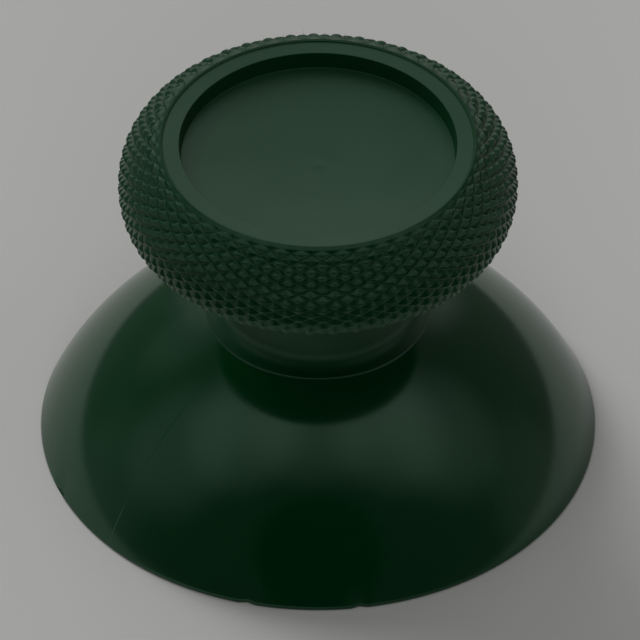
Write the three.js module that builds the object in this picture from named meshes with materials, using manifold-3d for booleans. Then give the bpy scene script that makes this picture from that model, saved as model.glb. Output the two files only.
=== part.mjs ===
// Thumbstick cap of a hand-held game controller, moulded as one piece: a knurled head with a sunk, slightly
// dished top, a short flared neck, and a spherical skirt that hides the opening round the stick.
// Millimetres, +Z up. The origin is on the stick's axis, in the plane that the skirt's foot stands on.
// The front is -Y.
import * as THREE from "three";
import { mergeVertices } from "three/addons/utils/BufferGeometryUtils.js";
import Module from "manifold-3d";

// Skirt: part of a hollow sphere whose centre is the point that the stick tilts about. The radius is measured
// at the upper edge of the foot's chamfer, and the latitude is the angle of that edge above the sphere's centre.
const footRadius = 11.25;
const footLatitude = THREE.MathUtils.degToRad(24.06);
const skirtWall = 1.1;
const footChamfer = 0.1;

// Neck: it flares where it meets the skirt, and has a large fillet under the head
const neckRadius = 3.85;
const neckLength = 4.73;
const flareRadius = 4.61;
const flareHeight = 1.6;
const underFillet = 1.5;

// Head, measured over the points of the knurl. Heights are above the head's underside.
const headRadius = 8.07;
const widestHeight = 1.9;
const crownHeight = 4.3;
const crownRadius = 6.31;
const undersideRadius = 6.2;
const crownSlope = THREE.MathUtils.degToRad(31.6);
const crownReach = 1.48;
const shoulderReach = 1.25;
const hipReach = 1.2;
const undersideReach = 1.25;

// Knurl: staggered rows of four-sided points, each as wide as two columns and as tall as two rows
const cellsAround = 50;
const rowPitch = 0.25;
const knurlDepth = 0.1;
const knurlTurn = THREE.MathUtils.degToRad(1.4);

// Top: a flat land inside the knurled crown, and a sunk floor inside the land
const landStep = 0.185;
const landStepDraft = 0.02;
const landWidth = 0.6;
const recessDepth = 0.72;
const recessDraft = 0.06;
const recessFillet = 0.12;
const dishDepth = 0.25;

// Boss under the skirt, with a keyed socket for the stick's shaft
const bossRadius = 3.3;
const bossDraft = 0.1;
const bossRootFillet = 0.7;
const bossLift = 1;
const shaftRadius = 2;
const shaftFlats = 3;
const socketClearance = 0.05;
const socketDepth = 7;
const socketLeadIn = 0.35;

// Facets
const domeSteps = 7;
const curveSteps = 4;
const dishSteps = 3;
const innerSides = 60;
const innerSteps = 6;
const arcSides = 12;

// Reach of a cutting solid past the face that it cuts
const cutOvershoot = 1;

const columns = 2 * cellsAround;
const domeRadius = footRadius / Math.cos(footLatitude);
const domeCentreHeight = footChamfer - footRadius * Math.tan(footLatitude);
const neckBaseHeight = domeCentreHeight + Math.sqrt(domeRadius ** 2 - flareRadius ** 2);
const undersideHeight = neckBaseHeight + neckLength - knurlDepth;

const wasm = await Module();
wasm.setup();

// Points of a sphere's meridian round a centre on the axis, from one height up to another
function meridian(radius, centreHeight, fromHeight, toHeight, steps) {
  const start = Math.asin((fromHeight - centreHeight) / radius);
  const end = Math.asin((toHeight - centreHeight) / radius);
  const points = [];
  for (let i = 0; i <= steps; i++) {
    const angle = start + ((end - start) * i) / steps;
    points.push(new THREE.Vector2(radius * Math.cos(angle), centreHeight + radius * Math.sin(angle)));
  }
  return points;
}

// Points of a curve that rounds the corner between two points
function rounded(from, corner, to, steps) {
  return new THREE.QuadraticBezierCurve(from, corner, to).getPoints(steps);
}

// The side of the head over the points of the knurl, from the crown's inner edge down to the underside
function gripCurve() {
  const crown = new THREE.Vector2(crownRadius, undersideHeight + crownHeight);
  const widest = new THREE.Vector2(headRadius, undersideHeight + widestHeight);
  const under = new THREE.Vector2(undersideRadius, undersideHeight);
  const curve = new THREE.CurvePath();
  curve.add(
    new THREE.CubicBezierCurve(
      crown,
      new THREE.Vector2(
        crown.x + crownReach * Math.cos(crownSlope),
        crown.y - crownReach * Math.sin(crownSlope),
      ),
      new THREE.Vector2(widest.x, widest.y + shoulderReach),
      widest,
    ),
  );
  curve.add(
    new THREE.CubicBezierCurve(
      widest,
      new THREE.Vector2(widest.x, widest.y - hipReach),
      new THREE.Vector2(under.x + undersideReach, under.y),
      under,
    ),
  );
  return curve;
}

// The knurl's rows from the underside up to the crown. Each has a point in the valleys and one at the tips,
// and the first and last rows are all valley, so that the knurl runs out flush.
function knurlRows() {
  const curve = gripCurve();
  const length = curve.getLength();
  const rowCount = Math.floor(length / rowPitch);
  const rows = [];
  for (let row = rowCount; row >= 0; row--) {
    const along = (row * rowPitch) / length;
    const tip = curve.getPoint(along);
    const tangent = curve.getTangent(along);
    const inward = new THREE.Vector2(tangent.y, -tangent.x);
    const valley = tip.clone().addScaledVector(inward, knurlDepth);
    const plain = row === 0 || row === rowCount;
    rows.push({ valley, tip: plain ? valley : tip });
  }
  return rows;
}

// The whole outer section, from the foot up over the head to the middle of the dished floor
function outerSection() {
  const skirt = meridian(domeRadius, domeCentreHeight, footChamfer, neckBaseHeight, domeSteps);
  const foot = new THREE.Vector2(footRadius - footChamfer, 0);

  const neckBase = skirt.pop();
  const flareTop = new THREE.Vector2(neckRadius, neckBaseHeight + flareHeight);
  const flareCorner = new THREE.Vector2(neckRadius, neckBaseHeight + flareHeight / 2);
  const flare = rounded(neckBase, flareCorner, flareTop, curveSteps);

  const knurl = knurlRows();
  const underside = knurl[0].valley.y;
  const fillet = rounded(
    new THREE.Vector2(neckRadius, underside - underFillet),
    new THREE.Vector2(neckRadius, underside),
    new THREE.Vector2(neckRadius + underFillet, underside),
    curveSteps,
  );

  const crown = knurl[knurl.length - 1].valley;
  const landHeight = crown.y - landStep;
  const landOuter = new THREE.Vector2(crown.x - landStepDraft, landHeight);
  const landInner = new THREE.Vector2(landOuter.x - landWidth, landHeight);
  const floorRadius = landInner.x - recessDraft;
  const floorHeight = landHeight - recessDepth;
  const corner = rounded(
    new THREE.Vector2(floorRadius, floorHeight + recessFillet),
    new THREE.Vector2(floorRadius, floorHeight),
    new THREE.Vector2(floorRadius - recessFillet, floorHeight),
    2,
  );
  const dishEdge = floorRadius - recessFillet;
  const dish = [];
  for (let i = 1; i < dishSteps; i++) {
    const radius = dishEdge * (1 - i / dishSteps);
    dish.push(new THREE.Vector2(radius, floorHeight - dishDepth * (1 - (radius / dishEdge) ** 2)));
  }

  const plain = (points) => points.map((point) => ({ valley: point, tip: point }));
  const below = plain([foot, ...skirt, ...flare, ...fillet]);
  const above = plain([landOuter, landInner, ...corner, ...dish]);
  return {
    rings: [...below, ...knurl, ...above],
    crownRow: below.length + knurl.length - 1,
    centreHeight: floorHeight - dishDepth,
  };
}

// A closed body of rings round the axis. Tips and valleys alternate along a ring and from ring to ring, counted
// down from the crown, and each four-sided patch is split along its valley, so that four triangles make one
// point of the knurl.
function knurledBody({ rings, crownRow, centreHeight }) {
  const isTip = (row, column) => (crownRow - row + column) % 2 === 0;
  const positions = [];
  rings.forEach(({ valley, tip }, row) => {
    for (let column = 0; column < columns; column++) {
      const angle = knurlTurn + (2 * Math.PI * column) / columns;
      const point = isTip(row, column) ? tip : valley;
      positions.push(point.x * Math.sin(angle), -point.x * Math.cos(angle), point.y);
    }
  });
  const bottomCentre = positions.push(0, 0, rings[0].valley.y) / 3 - 1;
  const topCentre = positions.push(0, 0, centreHeight) / 3 - 1;

  const index = [];
  for (let column = 0; column < columns; column++) {
    const next = (column + 1) % columns;
    index.push(bottomCentre, next, column);
    const last = (rings.length - 1) * columns;
    index.push(topCentre, last + column, last + next);
    for (let row = 0; row < rings.length - 1; row++) {
      const a = row * columns + column;
      const b = row * columns + next;
      const c = a + columns;
      const d = b + columns;
      if (isTip(row, column)) {
        index.push(a, b, c, b, d, c);
      } else {
        index.push(a, b, d, a, d, c);
      }
    }
  }
  const geometry = new THREE.BufferGeometry();
  geometry.setAttribute("position", new THREE.Float32BufferAttribute(positions, 3));
  geometry.setIndex(index);
  return geometry;
}

// The hollow under the skirt: a sphere on the dome's own centre, with the boss left standing in it
function hollow() {
  const radius = domeRadius - skirtWall;
  const rootRadius = bossRadius + bossDraft;
  const shoulder = rootRadius + bossRootFillet;
  const shoulderHeight = domeCentreHeight + Math.sqrt(radius ** 2 - shoulder ** 2);
  const wall = meridian(radius, domeCentreHeight, -cutOvershoot, shoulderHeight, innerSteps);
  const root = rounded(
    wall.pop(),
    new THREE.Vector2(rootRadius, domeCentreHeight + Math.sqrt(radius ** 2 - rootRadius ** 2)),
    new THREE.Vector2(rootRadius, shoulderHeight - bossRootFillet),
    3,
  );
  const profile = [
    new THREE.Vector2(0, -cutOvershoot),
    ...wall,
    ...root,
    new THREE.Vector2(bossRadius, bossLift),
    new THREE.Vector2(0, bossLift),
  ];
  return new THREE.LatheGeometry(profile, innerSides);
}

// The socket: round, with two flats that turn the cap with the shaft
function socket() {
  const radius = shaftRadius + socketClearance;
  const half = shaftFlats / 2 + socketClearance;
  const corner = Math.asin(half / radius);
  const outline = new THREE.Shape();
  outline.absarc(0, 0, radius, -corner, corner, false);
  outline.absarc(0, 0, radius, Math.PI - corner, Math.PI + corner, false);
  outline.closePath();
  const geometry = new THREE.ExtrudeGeometry(outline, {
    depth: socketDepth + cutOvershoot,
    bevelEnabled: false,
    curveSegments: arcSides,
  });
  geometry.translate(0, 0, bossLift - cutOvershoot);
  return geometry;
}

// The cone that leads the shaft into the socket
function leadIn() {
  const mouth = shaftRadius + socketClearance + socketLeadIn;
  const profile = [
    new THREE.Vector2(0, bossLift - cutOvershoot),
    new THREE.Vector2(mouth + cutOvershoot, bossLift - cutOvershoot),
    new THREE.Vector2(mouth - 2 * socketLeadIn, bossLift + 2 * socketLeadIn),
    new THREE.Vector2(0, bossLift + 2 * socketLeadIn),
  ];
  return new THREE.LatheGeometry(profile, innerSides);
}

// Stands a lathed shape up, so that its axis is Z
function upright(geometry) {
  return geometry.rotateX(Math.PI / 2);
}

function solidOf(geometry) {
  const bare = geometry.clone();
  bare.deleteAttribute("normal");
  bare.deleteAttribute("uv");
  const merged = mergeVertices(bare, 1e-4);
  return new wasm.Manifold(
    new wasm.Mesh({
      numProp: 3,
      vertProperties: new Float32Array(merged.attributes.position.array),
      triVerts: new Uint32Array(merged.index.array),
    }),
  );
}

function geometryOf(solid) {
  const mesh = solid.getMesh();
  const geometry = new THREE.BufferGeometry();
  geometry.setAttribute("position", new THREE.BufferAttribute(mesh.vertProperties, 3));
  geometry.setIndex(new THREE.BufferAttribute(mesh.triVerts, 1));
  return geometry;
}

// Near-black green plastic, matt on the head and polished on the skirt
const plastic = new THREE.MeshStandardMaterial({ color: 0x14301f, roughness: 0.4, metalness: 0 });

const cap = solidOf(knurledBody(outerSection()))
  .subtract(solidOf(upright(hollow())))
  .subtract(solidOf(socket()))
  .subtract(solidOf(upright(leadIn())));
const capMesh = new THREE.Mesh(geometryOf(cap), plastic);
capMesh.name = "thumbstick_cap";

const part = new THREE.Group();
part.add(capMesh);
export default part;
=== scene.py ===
# %% [markdown]
# # A thumbstick cap
# The object is the cap that a thumb pushes on a game controller: one piece of moulded plastic, 22.5 mm
# across. Its CAD solid has every form already, with facets. This script makes the same piece once more with
# finer facets, rounded points on the knurl and the marks of moulding, and gives it its three finishes.

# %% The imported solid, in its own frame
from math import asin, atan2, cos, hypot, pi, radians, sin, sqrt

import bmesh
import bpy
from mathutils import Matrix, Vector


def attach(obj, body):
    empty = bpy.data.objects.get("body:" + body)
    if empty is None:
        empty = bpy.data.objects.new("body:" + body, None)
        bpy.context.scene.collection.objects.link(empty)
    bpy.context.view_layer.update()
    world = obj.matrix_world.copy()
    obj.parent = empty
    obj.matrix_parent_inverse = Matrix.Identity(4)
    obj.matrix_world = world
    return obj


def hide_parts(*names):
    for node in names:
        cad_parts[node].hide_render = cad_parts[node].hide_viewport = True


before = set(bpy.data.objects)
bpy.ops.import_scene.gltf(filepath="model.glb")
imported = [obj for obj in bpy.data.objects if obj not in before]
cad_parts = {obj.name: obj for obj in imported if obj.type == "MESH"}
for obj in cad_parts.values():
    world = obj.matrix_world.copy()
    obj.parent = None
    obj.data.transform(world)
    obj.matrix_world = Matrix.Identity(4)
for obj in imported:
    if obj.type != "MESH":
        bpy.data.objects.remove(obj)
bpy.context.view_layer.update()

mm = 0.001

# %% [markdown]
# ## Camera
# The rims of the foot, the head and the recess are ellipses of nearly the same shape, so the picture was
# taken from far off with a long lens. A nearer camera would show the head too large for the foot. The one
# that fits all three rims looks down by 41.5 degrees from a metre away.

# %% Camera
camera_pitch = radians(41.5)
camera_place = Vector((0, -755.5, 674.1))

camera_data = bpy.data.cameras.new("camera")
camera_data.sensor_width = 36
camera_data.lens = 1403
camera_data.clip_start = 0.05
camera_data.clip_end = 20
camera = bpy.data.objects.new("camera", camera_data)
bpy.context.collection.objects.link(camera)
camera.location = camera_place * mm
camera.rotation_euler = (pi / 2 - camera_pitch, 0, 0)
camera_data.shift_x = 0.0031
bpy.context.scene.camera = camera
print("camera at", [round(v / mm) for v in camera.location], "mm")

# %% [markdown]
# ## The section
# Everything but the knurl and the socket is round about the axis, so one section gives nearly all of the
# cap. These are its sizes in millimetres, close to the solid's. The skirt is part of a sphere round the
# point that the stick tilts about, which is why it can turn in the opening of the controller without a gap.

# %% Sizes of the section
foot_radius = 11.25
foot_chamfer = 0.1
dome_radius = 12.32
skirt_wall = 1.1
neck_radius = 3.85
neck_length = 4.77
flare_radius = 4.56
flare_height = 0.75
under_fillet = 1.5
head_radius = 8.07
widest_height = 1.9
crown_height = 4.3
crown_radius = 6.31
underside_radius = 6.2
crown_slope = radians(31.6)
crown_reach = 1.48
shoulder_reach = 1.25
hip_reach = 1.2
underside_reach = 1.25
row_pitch = 0.25
knurl_depth = 0.2
land_step = 0.09
land_step_draft = 0.08
land_width = 0.69
recess_depth = 0.72
recess_draft = 0.06
recess_fillet = 0.04
dish_depth = 0.43
dish_power = 1.35
boss_radius = 3.3
boss_draft = 0.1
boss_root_fillet = 0.7
boss_lift = 1.0
socket_radius = 2.05
socket_half_flat = 1.55
socket_depth = 7.0
socket_lead_in = 0.35

dome_centre = foot_chamfer - sqrt(dome_radius ** 2 - foot_radius ** 2)
neck_base = dome_centre + sqrt(dome_radius ** 2 - flare_radius ** 2)
underside = neck_base + neck_length - knurl_depth
print("neck starts at", round(neck_base, 2), "mm, head at", round(underside, 2), "mm")

# %% [markdown]
# ## The rows of the knurl
# The side of the head is two curves that meet where it is widest. The rows of the knurl lie a quarter of a
# millimetre apart along them, so they are placed by length along the curve. Placed by height, they would be
# crowded where the head is steep. What is kept of each row is the bottom of its grooves, inside the curve.

# %% The rows of the knurl


def bezier(points, t):
    """The point at t of a curve with two ends and two handles."""
    a, b, c, d = points
    s = 1 - t
    return a * s ** 3 + b * 3 * s * s * t + c * 3 * s * t * t + d * t ** 3


def groove_bottoms(curve_steps=400):
    """The bottom of the grooves at each row, from the underside up to the crown, as (radius, height)."""
    crown = Vector((crown_radius, underside + crown_height))
    widest = Vector((head_radius, underside + widest_height))
    under = Vector((underside_radius, underside))
    crown_handle = crown + crown_reach * Vector((cos(crown_slope), -sin(crown_slope)))
    upper = (crown, crown_handle, widest + Vector((0, shoulder_reach)), widest)
    lower = (widest, widest - Vector((0, hip_reach)), under + Vector((underside_reach, 0)), under)
    line = [bezier(upper, i / curve_steps) for i in range(curve_steps)]
    line += [bezier(lower, i / curve_steps) for i in range(curve_steps + 1)]
    lengths = [0]
    for a, b in zip(line, line[1:]):
        lengths.append(lengths[-1] + (b - a).length)
    bottoms = []
    i = 0
    for row in range(int(lengths[-1] / row_pitch) + 1):
        while i < len(line) - 2 and lengths[i + 1] < row * row_pitch:
            i += 1
        step = (line[i + 1] - line[i]).normalized()
        tip = line[i] + step * (row * row_pitch - lengths[i])
        bottoms.append(tip + knurl_depth * Vector((step.y, -step.x)))
    return bottoms[::-1]


rows = groove_bottoms()
print(len(rows), "rows, from", [round(v, 2) for v in rows[0]], "to", [round(v, 2) for v in rows[-1]])

# %% [markdown]
# ## Ways of working
# A ring of edges is pulled up from a circle, one step after the other, and set to its next radius. That is
# how one would turn such a part by hand in edit mode. What a step selects stays selected, so `select` first
# deselects everything, and then picks vertices, edges or faces by their place.

# %% Helpers for edit mode


def start_piece(name):
    """Names the new primitive, and leaves it in edit mode with all of it selected."""
    piece = bpy.context.object
    piece.name = name
    bpy.ops.object.transform_apply(location=True, rotation=True, scale=True)
    bpy.ops.object.mode_set(mode="EDIT")
    bpy.ops.mesh.select_all(action="SELECT")
    return piece


def select(kind, test):
    """Selects the vertices, edges or faces of the piece in edit mode that pass a test."""
    bpy.ops.mesh.select_mode(type=kind)
    bpy.ops.mesh.select_all(action="DESELECT")
    mesh = bmesh.from_edit_mesh(bpy.context.object.data)
    chosen = 0
    for item in {"VERT": mesh.verts, "EDGE": mesh.edges, "FACE": mesh.faces}[kind]:
        if test(item):
            item.select = True
            chosen += 1
    mesh.select_flush(True)
    bmesh.update_edit_mesh(bpy.context.object.data)
    return chosen


def pull_ring(ring, radius, height):
    """Extrudes the selected ring from (radius, height) to a new radius and height, in millimetres."""
    old_radius, old_height = ring
    bpy.ops.mesh.extrude_region_move(
        TRANSFORM_OT_translate={"value": (0, 0, (height - old_height) * mm), "orient_type": "GLOBAL"}
    )
    grow = radius / old_radius
    bpy.ops.transform.resize(value=(grow, grow, 1), center_override=(0, 0, 0), orient_type="GLOBAL")
    return radius, height


def pull_rings(ring, points):
    """Extrudes the selected ring through several radii and heights."""
    for radius, height in points:
        ring = pull_ring(ring, radius, height)
    return ring


def rounded(start, corner, end, steps):
    """Points that round the corner between two points, without the first."""
    a, b, c = Vector(start), Vector(corner), Vector(end)
    points = []
    for i in range(1, steps + 1):
        t = i / steps
        points.append(tuple(a * (1 - t) ** 2 + b * 2 * t * (1 - t) + c * t * t))
    return points


def arc(radius, centre, start, end, steps):
    """Points of a sphere's section between two heights, without the first."""
    low = asin((start - centre) / radius)
    high = asin((end - centre) / radius)
    angles = [low + (high - low) * i / steps for i in range(1, steps + 1)]
    return [(radius * cos(angle), centre + radius * sin(angle)) for angle in angles]


# %% [markdown]
# ## Knurl
# The head's side is knurled so that a thumb doesn't slip off it. Fifty points go round it, and each row is
# turned by half a point against the next. The real surface comes from two crossing sets of grooves, which
# leave four-sided points. One point could be modelled and copied, but the copies would not follow the
# head's curve. So a grid is made first: a ring of a hundred edges is pulled up row by row along the bottom
# of the grooves. The last three rows are moved outwards and up a little, for the smooth margin round the
# land.

# %% A grid along the bottom of the grooves
points_around = 50
columns = 2 * points_around
knurl_turn = radians(1.4)
margin_moves = {-1: (0.15, 0), -2: (0.09, 0.06), -3: (0.04, 0.05)}
for row, move in margin_moves.items():
    rows[row] = rows[row] + Vector(move)

bpy.ops.mesh.primitive_circle_add(
    vertices=columns,
    radius=rows[0].x * mm,
    location=(0, 0, rows[0].y * mm),
    rotation=(0, 0, knurl_turn),
)
knurl = start_piece("knurl")
pull_rings(tuple(rows[0]), [tuple(row) for row in rows[1:]])
print("grid of", len(bmesh.from_edit_mesh(knurl.data).faces), "faces")

# %% [markdown]
# The vertices of the grid are of two kinds, like the squares of a chessboard. Those of the one kind are
# joined across each face, and those of the other kind are dissolved, which leaves one flat diamond for each
# point.

# %% One diamond for each point
row_heights = [row.y * mm for row in rows]


def column_of(point):
    """Number of a vertex round its ring, from the front towards the right."""
    return round((atan2(point.x, -point.y) - knurl_turn) / (2 * pi / columns)) % columns


def is_middle(vertex):
    """Whether a vertex lies in the middle of a diamond."""
    from_crown = len(rows) - 1 - min(range(len(rows)), key=lambda i: abs(row_heights[i] - vertex.co.z))
    return 0 < from_crown < len(rows) - 1 and (from_crown + column_of(vertex.co)) % 2 == 0


middles = select("VERT", is_middle)
bpy.ops.mesh.select_all(action="INVERT")
bpy.ops.mesh.vert_connect()
select("VERT", is_middle)
bpy.ops.mesh.dissolve_verts()
print(middles, "diamonds on", len(rows) - 2, "rows")

# %% [markdown]
# Each diamond is inset three times. The first inset leaves half of a groove, the second raises the four
# flanks and the third the flat tip. An inset rises along the normals, so these are turned outwards first. A
# bevel rounds the ridges, because worn tools and plastic that doesn't fill a mould to the last corner leave
# them round, and they catch the light. Towards the crown the grooves run out, so the points there get
# lower. One fault is left: beside the crown's edge the bevel also throws up fifty hair-thin spikes, one in
# each fiftieth of the round and up to 0.47 mm high. From low down they are seen as fine ticks on the rim.

# %% Points with rounded ridges rise between the grooves
groove_half_width = 0.015
flank_inset = 0.12
tip_inset = 0.035
tip_height = 0.02
flank_height = knurl_depth - tip_height
# In square millimetres: whole diamonds are larger, and the flanks of points made before are smaller.
smallest_area = 0.11
ridge_radius = 0.02
ridge_angle = radians(34)
# From a row to a row, and the share of their height that the points between them have.
heights_by_row = ((0, -7, 1), (-7, -5, 0.8), (-5, -3, 0.5), (-3, -1, 0.3))

bpy.ops.mesh.select_all(action="SELECT")
bpy.ops.mesh.flip_normals()
for first, last, share in heights_by_row:
    low, high = rows[first].y, rows[last].y
    select(
        "FACE",
        lambda face: len(face.verts) == 4
        and face.calc_area() > smallest_area * mm * mm
        and low < face.calc_center_median().z / mm < high,
    )
    bpy.ops.mesh.inset(thickness=groove_half_width * mm, use_individual=True)
    bpy.ops.mesh.inset(thickness=flank_inset * mm, depth=share * flank_height * mm, use_individual=True)
    bpy.ops.mesh.inset(thickness=tip_inset * mm, depth=share * tip_height * mm, use_individual=True)
select("EDGE", lambda edge: edge.is_convex and edge.calc_face_angle(0) > ridge_angle)
bpy.ops.mesh.bevel(offset=ridge_radius * mm, segments=2, affect="EDGES")
select("EDGE", lambda edge: edge.is_boundary)
bpy.ops.mesh.subdivide(number_cuts=1)
print("knurl of", len(bmesh.from_edit_mesh(knurl.data).faces), "faces")
bpy.ops.object.mode_set(mode="OBJECT")

# %% [markdown]
# ## Crown, land and dished floor
# The knurled crown stands a little above a flat land, and inside the land the floor is sunk and slightly
# dished, so that a thumb finds the middle. A profile could be drawn and spun, but rings that are pulled in
# one after the other show each size where it is used. They have twice the knurl's edges, because a round
# edge seen close needs more of them than a knurl does. A real mould leaves small radii on every edge, and
# each of them catches a line of light.

# %% Crown, land and floor
sides = 2 * columns
edge_radius = 0.05
dish_rings = 10
crown_edge = rows[-1]
land_height = crown_edge.y - land_step
land_outer = crown_edge.x - land_step_draft
land_inner = land_outer - land_width
floor_radius = land_inner - recess_draft
floor_height = land_height - recess_depth
dish_edge = floor_radius - recess_fillet

bpy.ops.mesh.primitive_circle_add(
    vertices=sides, radius=crown_edge.x * mm, location=(0, 0, crown_edge.y * mm), rotation=(0, 0, knurl_turn)
)
top = start_piece("top")
dish = []
for i in range(1, dish_rings):
    share = 1 - i / dish_rings
    dish.append((dish_edge * share, floor_height - dish_depth * (1 - share ** dish_power)))
ring = pull_rings(
    tuple(crown_edge),
    [(land_outer, land_height + edge_radius)]
    + rounded(
        (land_outer, land_height + edge_radius),
        (land_outer, land_height),
        (land_outer - edge_radius, land_height),
        steps=3,
    )
    + [(land_inner + edge_radius, land_height)]
    + rounded(
        (land_inner + edge_radius, land_height),
        (land_inner, land_height),
        (land_inner, land_height - edge_radius),
        steps=3,
    )
    + [(floor_radius, floor_height + recess_fillet)]
    + rounded(
        (floor_radius, floor_height + recess_fillet),
        (floor_radius, floor_height),
        (dish_edge, floor_height),
        steps=4,
    )
    + dish,
)
print("floor at", round(floor_height, 2), "mm, its middle at", round(floor_height - dish_depth, 2), "mm")

# %% [markdown]
# In the middle of the floor is a faint round spot, some 0.3 mm across, where the plastic came into the
# mould or where a pin pushed the part out. It is so low that a texture could stand for it, but as a low
# button with a soft edge it catches the light by itself.

# %% The spot in the middle of the floor
spot_radius = 0.14
spot_edge = 0.04
spot_lift = 0.008
middle = floor_height - dish_depth

button = [
    (spot_radius + spot_edge, middle),
    (spot_radius, middle + spot_lift),
    (spot_radius / 2, middle + spot_lift),
]
pull_rings(ring, button)
bpy.ops.mesh.merge(type="CENTER")
bpy.ops.object.mode_set(mode="OBJECT")
print("top of", len(top.data.polygons), "faces")

# %% [markdown]
# ## Skirt and neck
# The skirt is a slice of a sphere, so it starts as one: a sphere at the centre that the stick tilts about,
# cut off at the foot and where the neck stands on it. That is exact, where rings pulled by hand would only
# come near. The sphere is turned like the knurl, so that its edges meet those of the head later on.

# %% Skirt
tolerance = 0.001
bpy.ops.mesh.primitive_uv_sphere_add(
    segments=sides,
    ring_count=sides // 3,
    radius=dome_radius * mm,
    location=(0, 0, dome_centre * mm),
    rotation=(0, 0, knurl_turn),
)
skirt = start_piece("skirt")
bpy.ops.mesh.bisect(
    plane_co=(0, 0, foot_chamfer * mm), plane_no=(0, 0, 1), clear_inner=True, threshold=tolerance * mm
)
bpy.ops.mesh.select_all(action="SELECT")
bpy.ops.mesh.bisect(
    plane_co=(0, 0, neck_base * mm), plane_no=(0, 0, 1), clear_outer=True, threshold=tolerance * mm
)
print("slice of", len(bmesh.from_edit_mesh(skirt.data).faces), "faces")

# %% [markdown]
# The neck grows out of the skirt. The open ring is pulled up through a thin lip, the flare, the straight
# neck and the large fillet under the head. The lip is less than two pixels high, and yet it is seen, as a
# light line between the matt flare and the dark gloss. A tiny fillet joins it to the skirt.

# %% Neck
base_fillet = 0.03
lip = 0.08
flare_top = (neck_radius, neck_base + flare_height)
flare_corner = (neck_radius, neck_base + lip)
head_bottom = rows[0]

select("EDGE", lambda edge: edge.is_boundary and edge.verts[0].co.z > 0.9 * neck_base * mm)
pull_rings(
    (flare_radius, neck_base),
    [(flare_radius, neck_base + lip)]
    + rounded((flare_radius, neck_base + lip), flare_corner, flare_top, steps=10)
    + [(neck_radius, head_bottom.y - under_fillet)]
    + rounded(
        (neck_radius, head_bottom.y - under_fillet),
        (neck_radius, head_bottom.y),
        (neck_radius + under_fillet, head_bottom.y),
        steps=10,
    )
    + [tuple(head_bottom)],
)
base_edge = select(
    "EDGE",
    lambda edge: all(
        abs(v.co.z - neck_base * mm) < tolerance * mm
        and hypot(v.co.x, v.co.y) < (flare_radius + tolerance) * mm
        for v in edge.verts
    ),
)
bpy.ops.mesh.bevel(offset=base_fillet * mm, segments=3, affect="EDGES")
print("neck up to", round(head_bottom.y, 2), "mm, a fillet along", base_edge, "edges at its base")

# %% [markdown]
# ## Inside
# Turned over, the cap is a thin shell with a boss in the middle. The boss has a socket with two flats,
# which takes the stick's shaft and turns with it. A Solidify modifier could give the wall, but not the
# boss. So the ring at the foot is pulled under the edge, up the inner wall, down the boss and up its
# socket, which closes the shell and gives it its real thickness.

# %% Foot, inner wall and boss
inner_radius = dome_radius - skirt_wall
root_radius = boss_radius + boss_draft
shoulder = root_radius + boss_root_fillet
shoulder_height = dome_centre + sqrt(inner_radius ** 2 - shoulder ** 2)
mouth = socket_radius + socket_lead_in
inner_foot = sqrt(inner_radius ** 2 - dome_centre ** 2)

select("EDGE", lambda edge: edge.is_boundary and edge.verts[0].co.z < 2 * foot_chamfer * mm)
pull_rings(
    (foot_radius, foot_chamfer),
    rounded((foot_radius, foot_chamfer), (foot_radius, 0), (foot_radius - foot_chamfer, 0), steps=4)
    + [(inner_foot + edge_radius, 0), (inner_foot, edge_radius)]
    + arc(inner_radius, dome_centre, edge_radius, shoulder_height, steps=24)
    + rounded(
        (shoulder, shoulder_height),
        (root_radius, dome_centre + sqrt(inner_radius ** 2 - root_radius ** 2)),
        (root_radius, shoulder_height - boss_root_fillet),
        steps=5,
    )
    + [
        (boss_radius, boss_lift + edge_radius),
        (boss_radius - edge_radius, boss_lift),
        (mouth, boss_lift),
        (socket_radius, boss_lift + socket_lead_in),
    ],
)
print("wall", skirt_wall, "mm, boss", round(2 * boss_radius, 1), "mm across")

# %% [markdown]
# The foot's edge has three tiny nicks at the front, where the cap was knocked. They could be cut with a
# boolean, but so small a dent is only a few vertices, which are pushed in by a tenth of a millimetre.

# %% Nicks in the foot's edge
nicks = ((-10.36, -4.17, 0.19), (-2.94, -10.83, 0.06), (1.77, -11.1, 0.02))
nick_reach = 0.22
nick_depth = 0.1
for nick in nicks:
    pushed = select("VERT", lambda vertex: (vertex.co / mm - Vector(nick)).length < nick_reach)
    inwards = -nick_depth * mm * Vector((nick[0], nick[1], 0)).normalized()
    bpy.ops.transform.translate(value=inwards, orient_type="GLOBAL")
    print("nick of", pushed, "vertices")

# %% [markdown]
# The shaft of the stick has two flats, and the socket has them too. They are made by bringing the part of
# the round mouth that lies beyond each flat back to it. The outline is then pulled up to the socket's end.
# It isn't round any more, so it keeps its size, and its radius is given as 1 before and after.

# %% The socket's flats


def flatten(side):
    """Brings what is selected beyond a flat back to it, along Y."""
    mesh = bmesh.from_edit_mesh(skirt.data)
    chosen = [v for v in mesh.verts if v.select]
    for v in mesh.verts:
        v.select = v in chosen and side * v.co.y > socket_half_flat * mm
    mesh.select_flush(False)
    bmesh.update_edit_mesh(skirt.data)
    bpy.ops.transform.resize(
        value=(1, 0, 1), center_override=(0, side * socket_half_flat * mm, 0), orient_type="GLOBAL"
    )


socket_start = boss_lift + socket_lead_in
for side in (-1, 1):
    select(
        "VERT",
        lambda v: abs(v.co.z - socket_start * mm) < tolerance * mm and hypot(v.co.x, v.co.y) < mouth * mm,
    )
    flatten(side)
select("EDGE", lambda edge: edge.is_boundary and hypot(edge.verts[0].co.x, edge.verts[0].co.y) < mouth * mm)
pull_ring((1, socket_start), 1, boss_lift + socket_depth)
bpy.ops.mesh.edge_face_add()
bpy.ops.mesh.poke()
bpy.ops.object.mode_set(mode="OBJECT")
print("skirt of", len(skirt.data.polygons), "faces")

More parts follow.
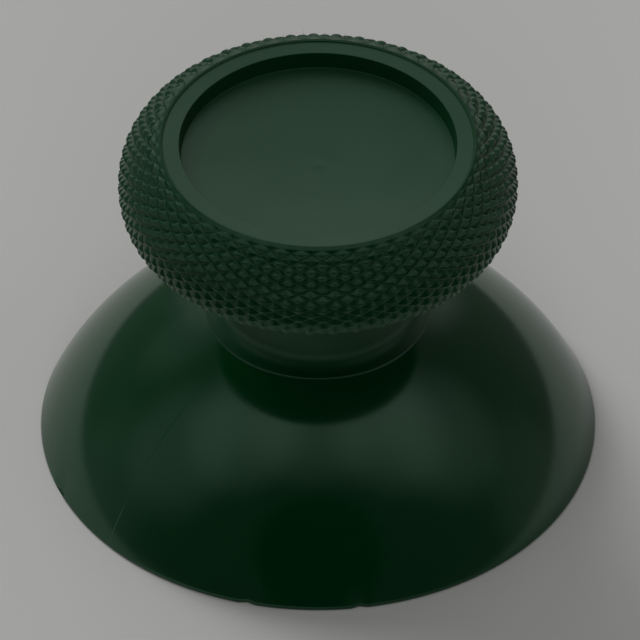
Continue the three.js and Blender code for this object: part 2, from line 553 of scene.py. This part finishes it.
# %% [markdown]
# ## One piece
# The real cap is one moulding, so its three parts become one mesh. They meet along two rings, at the crown
# and under the head. Only the vertices of these open rings are merged, because the knurl has details that
# are smaller than the gap. The normals are turned outwards, and the skin is closed. Edges sharper than 32
# degrees stay sharp: the bottoms of the grooves, but not the round forms.

# %% One closed skin
seam_gap = 0.01
sharp_angle = radians(32)
bpy.ops.object.select_all(action="DESELECT")
for piece in (top, skirt, knurl):
    piece.select_set(True)
bpy.context.view_layer.objects.active = knurl
bpy.ops.object.join()
cap = bpy.context.object
cap.name = "cap"
bpy.ops.object.mode_set(mode="EDIT")
select("VERT", lambda vertex: vertex.is_boundary)
bpy.ops.mesh.remove_doubles(threshold=seam_gap * mm)
bpy.ops.mesh.select_all(action="SELECT")
bpy.ops.mesh.normals_make_consistent(inside=False)
open_edges = select("EDGE", lambda edge: not edge.is_manifold)
bpy.ops.object.mode_set(mode="OBJECT")
bpy.ops.object.shade_smooth_by_angle(angle=sharp_angle)
print("cap of", len(cap.data.polygons), "faces,", open_edges, "open edges")

# %% [markdown]
# ## Three finishes of one plastic
# The cap is moulded in one shot of near-black green ABS. The mould was spark-eroded matt at the top and the
# neck, left as cut in the knurl, and polished on the skirt, so one colour shows as a soft grey-green above
# and as dark gloss below. Three different colours would match one photograph, but not another light. So the
# materials share their colour, and differ in how rough the surface is.

# %% Helpers for materials


def linear(hex_colour):
    """An sRGB hex colour as the linear RGBA that the shader's sockets take."""
    channels = [int(hex_colour[i : i + 2], 16) / 255 for i in (1, 3, 5)]
    return [c / 12.92 if c <= 0.04045 else ((c + 0.055) / 1.055) ** 2.4 for c in channels] + [1]


def add_node(tree, kind, settings=None, links=None):
    """Adds a node, sets its properties or sockets by name, and links outputs of other nodes to its inputs."""
    node = tree.nodes.new(kind)
    for name, value in (settings or {}).items():
        if isinstance(name, int) or name in node.inputs:
            node.inputs[name].default_value = value
        else:
            setattr(node, name, value)
    for name, output in (links or {}).items():
        tree.links.new(output, node.inputs[name])
    return node


def new_material(name):
    """An empty node material and its tree, with a Principled shader."""
    material = bpy.data.materials.new(name)
    material.use_nodes = True
    tree = material.node_tree
    return material, tree, tree.nodes["Principled BSDF"]


plastic_colour = "#002C10"
shine_colour = "#CFFFE4"


def finish_plastic(shader):
    """Sets what all finishes share: the colour, and a shine, greenish face on and white at the rims."""
    shader.inputs["Base Color"].default_value = linear(plastic_colour)
    shader.inputs["IOR"].default_value = 1.53
    shader.inputs["Specular IOR Level"].default_value = 0.7
    shader.inputs["Specular Tint"].default_value = linear(shine_colour)


print("plastic", plastic_colour, [round(c, 4) for c in linear(plastic_colour)[:3]])

# %% [markdown]
# Spark erosion leaves fine craters in a mould. On the plastic they spread the light, so that the dark green
# looks grey-green and shows no mirror image. The craters are some 0.03 mm wide, which is less than a pixel,
# so the bumps are drawn 0.08 mm wide. Wide clouds in the roughness stand for where fingers have polished
# it.

# %% Matt ABS of the top and the neck
crater_width = 0.08
crater_depth = 0.01
cloud_width = 3
matt, tree, shader = new_material("abs_spark_eroded_matt")
place = add_node(tree, "ShaderNodeTexCoord").outputs["Object"]
size = {"Scale": 1 / (2 * crater_width * mm), "Detail": 3.0}
grain = add_node(tree, "ShaderNodeTexNoise", size, {"Vector": place})
size = {"Scale": 1 / (2 * cloud_width * mm), "Detail": 2.0}
clouds = add_node(tree, "ShaderNodeTexNoise", size, {"Vector": place})
depth = {"Strength": 0.25, "Distance": crater_depth * mm}
bump = add_node(tree, "ShaderNodeBump", depth, {"Height": grain.outputs["Fac"]})
rough = add_node(
    tree,
    "ShaderNodeMapRange",
    {"From Min": 0.3, "From Max": 0.7, "To Min": 0.44, "To Max": 0.52},
    {"Value": clouds.outputs["Fac"]},
)
finish_plastic(shader)
tree.links.new(bump.outputs["Normal"], shader.inputs["Normal"])
tree.links.new(rough.outputs["Result"], shader.inputs["Roughness"])
print("made", matt.name)

# %% [markdown]
# The flanks of the knurl copy the marks of the cutter that made the grooves. That leaves them satin: smooth
# enough for a soft light on each ridge, and too rough for a mirror image. The marks themselves are far
# finer than a pixel, so plain roughness stands for them, with a little less shine than the skirt has.

# %% Satin ABS of the knurl
satin, tree, shader = new_material("abs_cut_satin")
finish_plastic(shader)
shader.inputs["Roughness"].default_value = 0.3
shader.inputs["Specular IOR Level"].default_value = 0.58
print("made", satin.name)

# %% [markdown]
# The skirt was moulded against polished steel, so it mirrors the room, slightly blurred by handling. On its
# left, a fine line runs down where two parts of the mould met. It is a step of less than a hundredth of a
# millimetre, too low for the mesh, so a bump draws it. The dot product with a direction across the line
# says how far a place is from it, and the one along the line lets it fade out towards the neck.

# %% Polished ABS of the skirt, with a fine step where two parts of the mould met
smear_width = 2.5
seam_azimuth = radians(-49)
seam_width = 0.04
seam_step = 0.008
seam_start, seam_full = 5.6, 6.6
gloss, tree, shader = new_material("abs_polished_gloss")
place = add_node(tree, "ShaderNodeTexCoord").outputs["Object"]
size = {"Scale": 1 / (2 * smear_width * mm), "Detail": 4.0}
smears = add_node(tree, "ShaderNodeTexNoise", size, {"Vector": place})
rough = add_node(
    tree,
    "ShaderNodeMapRange",
    {"From Min": 0.3, "From Max": 0.7, "To Min": 0.11, "To Max": 0.16},
    {"Value": smears.outputs["Fac"]},
)
finish_plastic(shader)
tree.links.new(rough.outputs["Result"], shader.inputs["Roughness"])
across = (cos(seam_azimuth), sin(seam_azimuth), 0)
along = (sin(seam_azimuth), -cos(seam_azimuth), 0)
offset = add_node(tree, "ShaderNodeVectorMath", {"operation": "DOT_PRODUCT", 1: across}, {0: place})
reach = add_node(tree, "ShaderNodeVectorMath", {"operation": "DOT_PRODUCT", 1: along}, {0: place})
step = {"From Min": 0, "From Max": seam_width * mm}
seam = add_node(tree, "ShaderNodeMapRange", step, {"Value": offset.outputs["Value"]})
step = {"From Min": seam_start * mm, "From Max": seam_full * mm}
shown = add_node(tree, "ShaderNodeMapRange", step, {"Value": reach.outputs["Value"]})
factors = {0: seam.outputs["Result"], 1: shown.outputs["Result"]}
height = add_node(tree, "ShaderNodeMath", {"operation": "MULTIPLY"}, factors).outputs["Value"]
bump = add_node(tree, "ShaderNodeBump", {"Strength": 1.0, "Distance": seam_step * mm}, {"Height": height})
tree.links.new(bump.outputs["Normal"], shader.inputs["Normal"])
print("made", gloss.name)

# %% [markdown]
# Each finish goes to the faces that have it, which are picked by their place: what is below the neck and
# outside it is skirt, and what is outside the crown's edge is knurl.

# %% Each finish goes to its faces
cap.data.materials.clear()
for material in (matt, gloss, satin):
    cap.data.materials.append(material)
bpy.ops.object.mode_set(mode="EDIT")


def on_skirt(face):
    """Whether a face belongs to the skirt or the tiny fillet on it."""
    point = face.calc_center_median() / mm
    return point.z < neck_base + base_fillet and hypot(point.x, point.y) > flare_radius - base_fillet


def on_knurl(face):
    """Whether a face belongs to the knurl."""
    point = face.calc_center_median() / mm
    return point.z > head_bottom.y + tolerance and hypot(point.x, point.y) > crown_edge.x


polished = select("FACE", on_skirt)
cap.active_material_index = cap.data.materials.find(gloss.name)
bpy.ops.object.material_slot_assign()
knurled = select("FACE", on_knurl)
cap.active_material_index = cap.data.materials.find(satin.name)
bpy.ops.object.material_slot_assign()
bpy.ops.object.mode_set(mode="OBJECT")
print(polished, "faces polished,", knurled, "satin,", len(cap.data.polygons) - polished - knurled, "matt")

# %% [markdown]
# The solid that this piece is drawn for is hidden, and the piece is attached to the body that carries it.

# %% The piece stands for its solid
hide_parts("thumbstick_cap")
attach(cap, "root")
print(sum(len(p.vertices) - 2 for p in cap.data.polygons), "triangles")

# %% [markdown]
# ## Studio
# The cap stands on a sheet of matt white paper. The sheet is small enough for its far edge to lie just
# below the horizon, because the rims of the skirt mirror the paper up to there, and the room beyond it is
# darker.

# %% Table
paper_width = 0.4
bpy.ops.object.select_all(action="DESELECT")
bpy.ops.mesh.primitive_plane_add(size=paper_width)
table = bpy.context.object
table.name = "table"
paper, tree, shader = new_material("matt_white_paper")
shader.inputs["Base Color"].default_value = linear("#C4C4C2")
shader.inputs["Roughness"].default_value = 0.9
table.data.materials.append(paper)
print("paper", paper_width, "m wide")

# %% [markdown]
# Two large soft lamps light the plastic's own colour and the paper: one behind on the left, and a weak one
# in front. A glossy skirt would show them as hard squares, so they are left out of the mirror images.

# %% Lights


def soft_light(name, size, power, place, target=(0, 0, 0.008)):
    """A square area light that faces a point."""
    data = bpy.data.lights.new(name, "AREA")
    data.size = size
    data.energy = power
    light = bpy.data.objects.new(name, data)
    bpy.context.collection.objects.link(light)
    light.location = place
    light.rotation_euler = (Vector(target) - Vector(place)).to_track_quat("-Z", "Y").to_euler()
    light.visible_camera = False
    light.visible_glossy = False
    print(name, power, "W")


soft_light("back_softbox", 0.5, 8.0, (-0.6, 0.75, 0.5))
soft_light("front_fill", 0.6, 2.0, (0, -0.85, 0.6))

# %% [markdown]
# ## Room
# What the skirt mirrors is the room, and the photograph shows it: dark in front, where the camera is, a
# little brighter behind, with windows and walls as soft patches. Real furniture would cost time and bring
# edges, so the room is painted on the world as soft round glows, each by its direction.

# %% Room
world = bpy.data.worlds.new("room")
bpy.context.scene.world = world
world.use_nodes = True
tree = world.node_tree
heading = add_node(tree, "ShaderNodeTexCoord").outputs["Generated"]


def glow(azimuth, elevation, inner, outer, strength):
    """A soft round patch round a direction: azimuth from the front to the right, and radii in degrees."""
    turn, rise = radians(azimuth), radians(elevation)
    centre = (sin(turn) * cos(rise), -cos(turn) * cos(rise), sin(rise))
    dot = add_node(tree, "ShaderNodeVectorMath", {"operation": "DOT_PRODUCT", 1: centre}, {0: heading})
    patch = {
        "interpolation_type": "SMOOTHSTEP",
        "From Min": cos(radians(outer)),
        "From Max": cos(radians(inner)),
        "To Min": 0,
        "To Max": strength,
    }
    return add_node(tree, "ShaderNodeMapRange", patch, {"Value": dot.outputs["Value"]}).outputs["Result"]


def plus(a, b):
    """The sum of two outputs."""
    return add_node(tree, "ShaderNodeMath", {"operation": "ADD"}, {0: a, 1: b}).outputs["Value"]


backwards = add_node(tree, "ShaderNodeSeparateXYZ", None, {"Vector": heading}).outputs["Y"]
walls = {"From Min": -0.75, "From Max": 0.75, "To Min": 0.042, "To Max": 0.1}
room = add_node(tree, "ShaderNodeMapRange", walls, {"Value": backwards}).outputs["Result"]
# Azimuth, elevation, inner and outer radius in degrees, and strength: five on the left and right of the
# skirt, two at the horizon that soften its bright rims, and three above and behind that the top shows.
glows = (
    (-66, 60, 0, 27, 0.25),
    (-82, 38, 0, 28, 0.19),
    (64, 60, 0, 27, 0.22),
    (84, 44, 0, 28, 0.19),
    (-132, 32, 0, 16, 0.1),
    (-95, 8, 0, 26, 0.09),
    (95, 8, 0, 24, 0.08),
    (0, 72, 0, 24, 0.06),
    (180, 35, 8, 38, 0.64),
    (0, 90, 10, 42, 0.2),
)
for patch in glows:
    room = plus(room, glow(*patch))
# The dark round place in front takes everything away.
dark = glow(0, 26, 20, 28, 1.0)
kept = add_node(tree, "ShaderNodeMath", {"operation": "SUBTRACT", 0: 1.0}, {1: dark}).outputs["Value"]
room = add_node(tree, "ShaderNodeMath", {"operation": "MULTIPLY"}, {0: room, 1: kept}).outputs["Value"]
background = tree.nodes["Background"]
background.inputs["Color"].default_value = (1, 1, 1, 1)
tree.links.new(room, background.inputs["Strength"])
print("room of", len(glows), "glows")

# %% [markdown]
# The Standard view shows colours as they are written.

# %% Plain colours
bpy.context.scene.view_settings.view_transform = "Standard"
